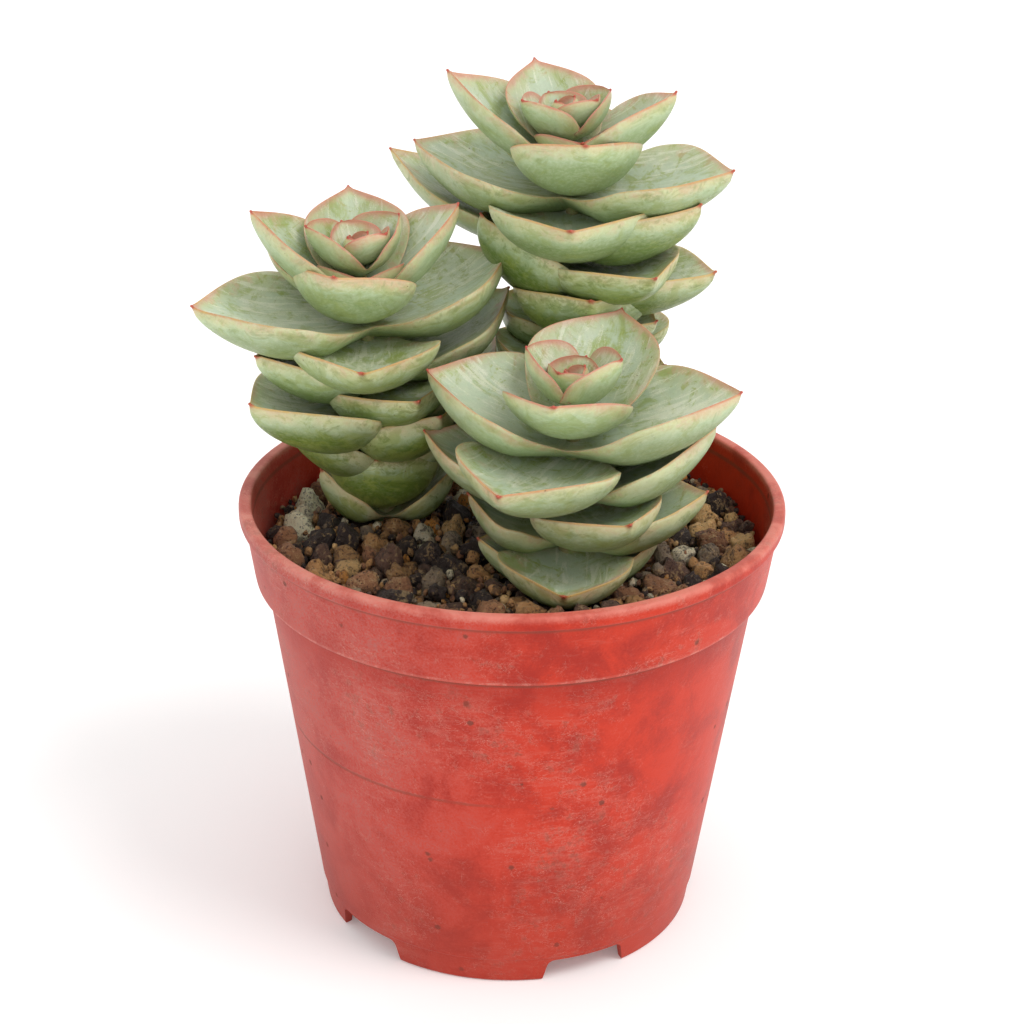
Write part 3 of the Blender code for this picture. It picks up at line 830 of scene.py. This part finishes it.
def growStem(name, plant, material):
    # tapered, with a knuckle under each pair
    s = stemShape
    heights = np.arange(s["footZ"], plant["top"][2] - 0.2, s["rise"])
    sides = s["sides"]
    joints = [pair[0] - s["knuckleBelow"] for pair in plant["pairs"]]
    points, faces = [], []
    for height in heights:
        swell = max(math.exp(-((height - joint) / s["knuckleSpread"]) ** 2) for joint in joints)
        radius = stemRadius(plant, height) * (1 + s["knuckle"] * swell)
        centre = stemPoint(plant, height)
        for k in range(sides):
            a = 2 * math.pi * k / sides
            points.append(centre + np.array([math.cos(a), math.sin(a), 0.0]) * radius)
    for row in range(len(heights) - 1):
        faces += bandFaces(row * sides, (row + 1) * sides, sides)
    faces.append(tuple(range(sides))[::-1])
    faces.append(tuple((len(heights) - 1) * sides + k for k in range(sides)))
    stem = putPiece(f"{name}Stem", points, faces, material)
    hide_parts(f"{name}_stem")


leafSkin = leafMaterial()
stemSkin = stemMaterial()
leafPieces = []
for plantName, plantData in plants.items():
    leafPieces += growPlant(plantName, plantData, leafSkin, stemSkin)
print("leaves grown:", len(leafPieces), "pieces")


# pot

potShape = {
    "steps": 220,
    "bandRadius": 44.0,
    "bandBottomRadius": 42.7,
    "bodyTopRadius": 40.8,
    "bodyTop": 61.4,
    "footRadius": 31.9,
    "footWidth": 1.6,
    "ledgeHeight": 4.8,
    "ledgeStep": 0.25,
    "floorUnderside": 3.8,
    "wall": 1.3,
    "lipDepth": 2.4,
    "lipWidth": 2.0,
    "notches": 5,
    "firstNotch": -137.5,   # degrees
    "notchWidth": 15.2,
    "notchTopWidth": 13.2,
    "notchHeight": 4.0,
    "notchRounding": 1.0,
    "drainRadius": 3.0,
    "drainCircle": 19.0,
    "unevenness": 0.0025,
    "sharpFrom": 38,        # degrees
}


def bodyRadius(z):
    p = potShape
    return p["footRadius"] + z / p["bodyTop"] * (p["bodyTopRadius"] - p["footRadius"])


def innerRadius(z):
    p = potShape
    if z < p["bodyTop"]:
        return bodyRadius(z) - p["wall"]
    share = (z - p["bodyTop"]) / (potTop - p["lipDepth"] - p["bodyTop"])
    return p["bandBottomRadius"] + share * (p["bandRadius"] - p["bandBottomRadius"]) - p["wall"]


def roundedCorners(path, parts=5):
    # each corner (across, up, radius) of a profile becomes a short curve
    result = []
    for i, (*point, radius) in enumerate(path):
        if radius == 0:
            result.append(tuple(point))
            continue
        here, before, after = Vector(point), Vector(path[i - 1][:2]), Vector(path[i + 1][:2])
        start = here + (before - here).normalized() * min(radius, (before - here).length * 0.45)
        finish = here + (after - here).normalized() * min(radius, (after - here).length * 0.45)
        for k in range(parts + 1):
            t = k / parts
            result.append(tuple(start * (1 - t) ** 2 + here * 2 * t * (1 - t) + finish * t * t))
    return result


def potProfile():
    p = potShape
    floorTop = p["floorUnderside"] + p["wall"]
    lipBottom = potTop - p["lipDepth"]
    lipInside = rimRadius - p["lipWidth"]
    footIn = p["footRadius"] - p["footWidth"]
    footOut = p["footRadius"] - p["ledgeStep"]
    ledge = bodyRadius(p["ledgeHeight"])
    path = [
        (0.0, floorTop, 0),
        (innerRadius(floorTop), floorTop, 1.2),
        (innerRadius(p["bodyTop"] - 1.5), p["bodyTop"] - 1.5, 0.8),
        (innerRadius(p["bodyTop"] + 0.5), p["bodyTop"] + 0.5, 0.8),
        (innerRadius(lipBottom), lipBottom, 0.6),
        (lipInside, potTop, 0.55),
        (rimRadius, potTop, 0.7),
        (rimRadius, lipBottom + 0.1, 0.6),
        (p["bandRadius"] + 0.15, lipBottom - 0.1, 0.5),
        (p["bandRadius"], lipBottom - 0.9, 0.3),
        (p["bandBottomRadius"] + 0.05, p["bodyTop"] + 1.6, 0.4),
        (p["bandBottomRadius"] - 0.2, p["bodyTop"] + 0.25, 0.45),
        (p["bodyTopRadius"] + 0.05, p["bodyTop"] - 0.15, 0.25),
        (bodyRadius(40.0), 40.0, 0.5),
        (ledge, p["ledgeHeight"], 0.18),
        (ledge - p["ledgeStep"], p["ledgeHeight"] - 0.2, 0.12),
        (footOut, 0.0, 0.45),
        (footIn, 0.0, 0.3),
        (footIn, p["floorUnderside"], 0.5),
        (0.0, p["floorUnderside"], 0),
    ]
    return roundedCorners(path)


def turnedPiece(name, profile, steps):
    mesh = bpy.data.meshes.new(name)
    rows = [(r * mm, 0.0, z * mm) for r, z in profile]
    mesh.from_pydata(rows, [(i, i + 1) for i in range(len(rows) - 1)], [])
    piece = addObject(name, mesh)
    screw = piece.modifiers.new("turn", "SCREW")
    screw.steps = screw.render_steps = steps
    screw.use_merge_vertices = True
    screw.merge_threshold = 0.02 * mm
    applyModifiers(piece)
    return piece


def applyModifiers(piece):
    graph = bpy.context.evaluated_depsgraph_get()
    mesh = bpy.data.meshes.new_from_object(piece.evaluated_get(graph))
    piece.modifiers.clear()
    piece.data = mesh


def cutWith(piece, cutter):
    tool = piece.modifiers.new("cut", "BOOLEAN")
    tool.operation = "DIFFERENCE"
    tool.object = cutter
    applyModifiers(piece)
    bpy.data.objects.remove(cutter, do_unlink=True)


def cutterFrom(bm, name):
    mesh = bpy.data.meshes.new(name)
    bm.to_mesh(mesh)
    bm.free()
    return addObject(name, mesh)


def notchCutter(number):
    p = potShape
    bm = bmesh.new()
    bmesh.ops.create_cube(bm, size=1.0)
    for vert in bm.verts:
        top = vert.co.z > 0
        width = p["notchTopWidth"] if top else p["notchWidth"]
        vert.co = Vector((
            (p["footRadius"] + vert.co.x * 8.0) * mm,
            vert.co.y * width * mm,
            (p["notchHeight"] if top else -1.0) * mm,
        ))
    topEdges = [
        edge for edge in bm.edges
        if all(vert.co.z > 0 for vert in edge.verts)
        and abs(edge.verts[0].co.y - edge.verts[1].co.y) < 1e-6
    ]
    bmesh.ops.bevel(
        bm, geom=topEdges, offset=p["notchRounding"] * mm, segments=4, affect="EDGES", profile=0.5
    )
    cutter = cutterFrom(bm, "notchCutter")
    cutter.rotation_euler.z = math.radians(p["firstNotch"] + number * 360 / p["notches"])
    return cutter


def drainCutter(number):
    p = potShape
    bm = bmesh.new()
    radius, out = p["drainRadius"] * mm, p["drainCircle"] * mm
    bmesh.ops.create_cone(
        bm, cap_ends=True, segments=40, radius1=radius, radius2=radius, depth=6 * mm
    )
    cutter = cutterFrom(bm, "drainCutter")
    a = math.radians(p["firstNotch"] + (number + 0.5) * 360 / p["notches"])
    cutter.location = (out * math.cos(a), out * math.sin(a), 4.5 * mm)  # through the pot's floor
    return cutter


def makePot(material):
    pot = turnedPiece("nurseryPot", potProfile(), potShape["steps"])
    for number in range(potShape["notches"]):
        cutWith(pot, notchCutter(number))
        cutWith(pot, drainCutter(number))
    # slight unevenness of a moulded, well used pot
    for vert in pot.data.vertices:
        share = vert.co.z / (potTop * mm)
        a = math.atan2(vert.co.y, vert.co.x)
        swing = noise.noise(Vector((math.cos(a), math.sin(a), share * 0.7 + 4.0)) * 1.1)
        scale = 1 + potShape["unevenness"] * swing * share
        vert.co.x *= scale
        vert.co.y *= scale
    pot.data.transform(Matrix.Translation(Vector(potAxis) * mm))
    pot.data.shade_smooth()
    pot.data.set_sharp_from_angle(angle=math.radians(potShape["sharpFrom"]))
    pot.data.materials.clear()
    pot.data.materials.append(material)
    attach(pot, "root")
    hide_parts("pot")
    return pot


pot = makePot(potMaterial())
print("pot turned:", len(pot.data.polygons), "faces")


# gritty mix

gritShape = {
    "seed": 11,
    "level": 65.6,        # mm, the granules' middle height
    "sizes": (2.8, 2.5, 2.2, 1.85, 1.5, 1.1, 0.75, 0.5),   # mm, radii tried in turn
    "tries": (160, 500, 1100, 1800, 2200, 2800, 3600, 5200),
    "closeness": 0.86,
    "lowerLayer": 3.4,    # mm down, with granules over lowerLeast only
    "lowerLeast": 1.7,
    "crumb": 1.25,        # mm, and under it a granule is a plainer crumb
    "stemGap": 2.6,
    "wallGap": 1.25,      # as shares of the granule's radius
    "leafGap": 1.15,
    "nearLeaves": 80.0,   # mm, leaf pairs that start lower are kept clear
    "gain": (0.80, 1.50),
    "groups": 8,
    "fillBelow": 3.3,
}
gritTones = (             # share of the granules, colour
    (0.26, (0.480, 0.245, 0.095)),
    (0.15, (0.320, 0.145, 0.070)),
    (0.12, (0.640, 0.390, 0.165)),
    (0.19, (0.040, 0.026, 0.024)),
    (0.12, (0.130, 0.068, 0.046)),
    (0.06, (0.300, 0.220, 0.150)),
    (0.04, (0.520, 0.220, 0.050)),
    (0.06, (0.780, 0.680, 0.480)),
)


def pebbleForms(count, level):
    # rough, flattened granules as unit point clouds that share one set of faces
    forms = []
    draw = random.Random(5)
    for number in range(count):
        bm = bmesh.new()
        bmesh.ops.create_icosphere(bm, subdivisions=level, radius=1.0)
        triangles = [tuple(v.index for v in f.verts) for f in bm.faces]
        cloud, planes = [], []
        for _ in range(7):
            normal = Vector([draw.uniform(-1, 1) for _ in range(3)]).normalized()
            planes.append((normal, draw.uniform(0.62, 0.92)))
        rugged = draw.uniform(0.22, 0.52)
        stretch = Vector((1.12, draw.uniform(0.78, 1.0), draw.uniform(0.62, 0.85)))
        for vert in bm.verts:
            p = vert.co.copy()
            lump = noise.noise(p * 1.4 + Vector((number * 9.0, 0, 0)))
            knobs = 0.5 - abs(noise.noise(p * 2.4 + Vector((0, number * 7.0, 0)))) * 2
            pits = noise.noise(p * 5.0 + Vector((0, 0, number * 5.0)))
            for normal, limit in planes:
                over = p.dot(normal) - limit
                if over > 0:
                    p -= normal * over * 0.8
            p *= 1 + rugged * (lump * 0.9 + knobs * 0.5 + pits * 0.5)
            cloud.append((p.x * stretch.x, p.y * stretch.y, p.z * stretch.z))
        forms.append(np.array(cloud))
        bm.free()
    return forms, np.array(triangles)


def surfaceHeight(x, y):
    swell = 0.9 * noise.noise(Vector((x, y, 3.0)) / 9.0)
    return gritShape["level"] + swell + 0.6 * noise.noise(Vector((x, y, 9.0)) / 4.0)


def leafTree():
    points, faces = [], []
    for piece in leafPieces:
        if min(v.co.z for v in piece.data.vertices) > gritShape["nearLeaves"] * mm:
            continue
        start = len(points)
        points += [v.co / mm - Vector(potAxis) for v in piece.data.vertices]
        faces += [tuple(start + i for i in f.vertices) for f in piece.data.polygons]
    return BVHTree.FromPolygons(points, faces)


def packGranules():
    g = gritShape
    draw = random.Random(g["seed"])
    tree = leafTree()
    placed = []
    cell = 7.0   # mm, wider than two granules
    grid = {}
    stems = [stemPoint(plant, g["level"]) for plant in plants.values()]
    for drop in (0.0, g["lowerLayer"]):
        for radius, tries in zip(g["sizes"], g["tries"]):
            if drop and radius < g["lowerLeast"]:
                continue
            for _ in range(tries):
                a = draw.uniform(0, 2 * math.pi)
                reach = math.sqrt(draw.uniform(0, 1)) * innerRadius(66.0)
                size = radius * draw.uniform(0.9, 1.1)
                x, y = reach * math.cos(a), reach * math.sin(a)
                z = surfaceHeight(x, y) - drop - size * 0.25 + draw.uniform(-0.7, 0.9)
                if reach > innerRadius(z - size) - size * g["wallGap"]:
                    continue
                if any(math.hypot(x - s[0], y - s[1]) < g["stemGap"] + size * 0.7 for s in stems):
                    continue
                key = (int(x // cell), int(y // cell))
                near = [
                    grain for i in (-1, 0, 1) for j in (-1, 0, 1)
                    for grain in grid.get((key[0] + i, key[1] + j), ())
                ]
                if any(
                    math.dist((x, y, z), other[:3]) < g["closeness"] * (size + other[3])
                    for other in near
                ):
                    continue
                if tree.find_nearest(Vector((x, y, z)), size * g["leafGap"])[0] is not None:
                    continue
                placed.append((x, y, z, size))
                grid.setdefault(key, []).append(placed[-1])
    return placed


def makeGrit(stone):
    granules, crumbs = pebbleForms(14, 3), pebbleForms(8, 2)
    placed = packGranules()
    draw = random.Random(23)
    groups = gritShape["groups"]
    stacks = [([], [], [], []) for _ in range(groups)]
    for number, (x, y, z, size) in enumerate(placed):
        points, faces, tones, flows = stacks[number % groups]
        forms, triangles = granules if size > gritShape["crumb"] else crumbs
        form = forms[draw.randrange(len(forms))]
        turn = np.array(Euler([draw.uniform(0, 6.28) for _ in range(3)]).to_matrix())
        start = sum(len(p) for p in points)
        points.append(form @ turn.T * size * 1.06 + np.array([x, y, z]))
        faces.append(triangles + start)
        pick = draw.uniform(0, 1)
        for weight, tone in gritTones:
            pick -= weight
            if pick <= 0:
                break
        gain = draw.uniform(*gritShape["gain"])
        tones.append(np.tile([*(min(1, t * gain) for t in tone), 1.0], (len(form), 1)))
        flows.append(form * size + np.array([draw.uniform(0, 300) for _ in range(3)]))
    for index, (points, faces, tones, flows) in enumerate(stacks):
        putPiece(
            f"granules{index + 1}", np.concatenate(points), np.concatenate(faces).tolist(),
            stone, {"tone": np.concatenate(tones), "flow": np.concatenate(flows)},
        )
    return len(placed)


def outward(inner, outer, count):  # the same faces as bandFaces, turned over
    return [(a, d, c, b) for a, b, c, d in bandFaces(inner, outer, count)]


def makeFill(material):
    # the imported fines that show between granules
    rings, steps = 60, 160
    gap = 0.2   # mm to the pot's wall
    below = gritShape["fillBelow"]
    edge = innerRadius(63.0) - gap
    points, faces = [(0.0, 0.0, surfaceHeight(0, 0) - below - 0.1)], []
    for ring in range(1, rings + 1):
        for k in range(steps):
            a = 2 * math.pi * k / steps
            r = edge * ring / rings
            x, y = r * math.cos(a), r * math.sin(a)
            lump = 1.1 * noise.noise(Vector((x, y, 5.0)) / 2.2)
            lump += 0.5 * noise.noise(Vector((x, y, 1.0)))
            z = surfaceHeight(x, y) - below + lump
            pull = min(1.0, (innerRadius(z) - gap) / r)
            points.append((x * pull, y * pull, z))
    for k in range(steps):
        faces.append((0, 1 + k, 1 + (k + 1) % steps))
    for ring in range(rings - 1):
        faces += outward(1 + ring * steps, 1 + (ring + 1) * steps, steps)
    # side wall and base follow the pot's inside
    floorTop = potShape["floorUnderside"] + potShape["wall"] + 0.3
    last = 1 + (rings - 1) * steps
    for z in (59.0, 30.0, floorTop):
        start = len(points)
        r = innerRadius(z) - gap - 0.1
        for k in range(steps):
            a = 2 * math.pi * k / steps
            points.append((r * math.cos(a), r * math.sin(a), z))
        faces += outward(last, start, steps)
        last = start
    faces.append(tuple(last + k for k in range(steps))[::-1])
    fill = putPiece("gritFill", points, faces, material)
    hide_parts("potting_mix")


granuleCount = makeGrit(gritMaterial())
makeFill(fillMaterial())
print("grit poured:", granuleCount, "granules")


# floor, light and camera

stageSettings = {
    "floorSize": 6.0,
    "skyStrength": 0.95,
    "keyFrom": (0.50, -0.28, 0.85),
    "keySpread": 26.0,   # degrees across, for a soft shadow
    "keyStrength": 1.15,
    "keyColor": (1.0, 0.985, 0.965),
}


def makeFloor():
    half = stageSettings["floorSize"] / 2
    mesh = bpy.data.meshes.new("floor")
    corners = [(-half, -half, 0), (half, -half, 0), (half, half, 0), (-half, half, 0)]
    mesh.from_pydata(corners, [], [(0, 1, 2, 3)])
    mesh.materials.append(floorMaterial())
    floor = addObject("floor", mesh)
    floor.location.z = -0.05 * mm


def makeKeyLight():
    s = stageSettings
    lamp = bpy.data.lights.new("keyLight", "SUN")
    lamp.angle = math.radians(s["keySpread"])
    lamp.energy = s["keyStrength"]
    lamp.color = s["keyColor"]
    holder = addObject("keyLight", lamp)
    holder.location = s["keyFrom"]
    holder.rotation_euler = (-Vector(s["keyFrom"])).to_track_quat("-Z", "Y").to_euler()


def makeSky():
    # soft light from all round, against a backdrop that shows as plain white
    world = bpy.data.worlds.new("studio")
    bpy.context.scene.world = world
    n = Nodes(world)
    n.tree.nodes.remove(n.tree.nodes["Background"])
    white = (1.0, 1.0, 1.0)
    strength = stageSettings["skyStrength"]
    light = n.add("ShaderNodeBackground", {}, {"Color": white, "Strength": strength})
    backdrop = n.add("ShaderNodeBackground", {}, {"Color": white, "Strength": 1.0})
    seen = n.add("ShaderNodeLightPath", out="Is Camera Ray")
    mix = n.add("ShaderNodeMixShader", {}, {0: seen, 1: light, 2: backdrop})
    n.feed(n.tree.nodes["World Output"].inputs["Surface"], mix)


cameraSettings = {
    "lens": 88.91,
    "sensor": 36.0,
    "place": (0.0, -380.13, 247.42),   # mm from the pot's axis
    "tilt": 24.867,   # degrees
    "roll": 0.745,
}


def makeCamera():
    c = cameraSettings
    camera = bpy.data.cameras.new("camera")
    camera.lens = c["lens"]
    camera.sensor_width = c["sensor"]
    camera.clip_start = 0.01
    camera.clip_end = 20.0
    holder = addObject("camera", camera)
    tilt = Matrix.Rotation(math.radians(90 - c["tilt"]), 4, "X")
    roll = Matrix.Rotation(math.radians(c["roll"]), 4, "Z")
    place = (Vector(c["place"]) + Vector(potAxis)) * mm
    holder.matrix_world = Matrix.Translation(place) @ tilt @ roll
    bpy.context.scene.camera = holder


makeFloor()
makeKeyLight()
makeSky()
makeCamera()
view = bpy.context.scene.view_settings
view.view_transform = "Standard"
view.look = "None"
print("stage set")
